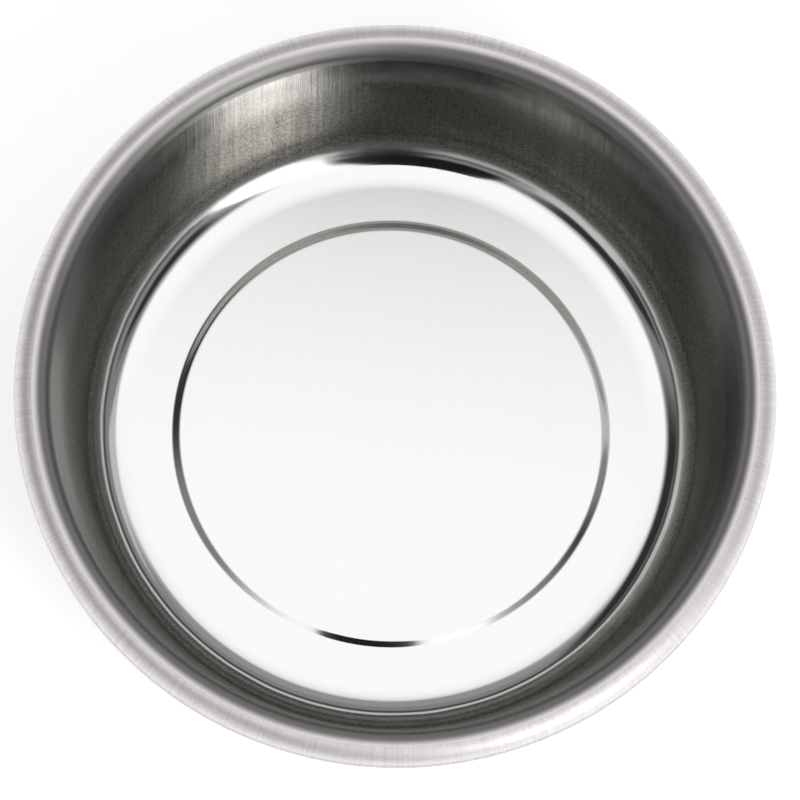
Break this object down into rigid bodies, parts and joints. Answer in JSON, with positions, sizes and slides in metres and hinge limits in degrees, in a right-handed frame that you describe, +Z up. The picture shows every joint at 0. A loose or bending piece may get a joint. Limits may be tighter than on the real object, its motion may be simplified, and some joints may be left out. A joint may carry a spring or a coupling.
{
  "type": "magnetic parts tray",
  "caption": "Round drawn steel tray with a rolled rim, held to steel surfaces by a ring magnet in a rubber boot under its floor.",
  "frame": {"origin": "on the table, under the middle of the tray", "axes": "+Z up along the axis of the bowl; the split of the spring washer points to +X"},
  "size_m": [0.15, 0.15, 0.0502],
  "materials": {
    "stainless": "polished",
    "stud_steel": "satin",
    "cup_steel": "satin",
    "ferrite": "matte",
    "resin": "gloss",
    "zinc": "satin",
    "rubber": "matte"
  },
  "bodies": {
    "root": {"bowl": "stainless", "weld_stud": "stud_steel", "magnet_cup": "cup_steel", "ring_magnet": "ferrite", "potting_ring": "resin", "flat_washer": "zinc", "spring_washer": "zinc", "hex_nut": "zinc", "rubber_boot": "rubber"}
  },
  "joints": []
}
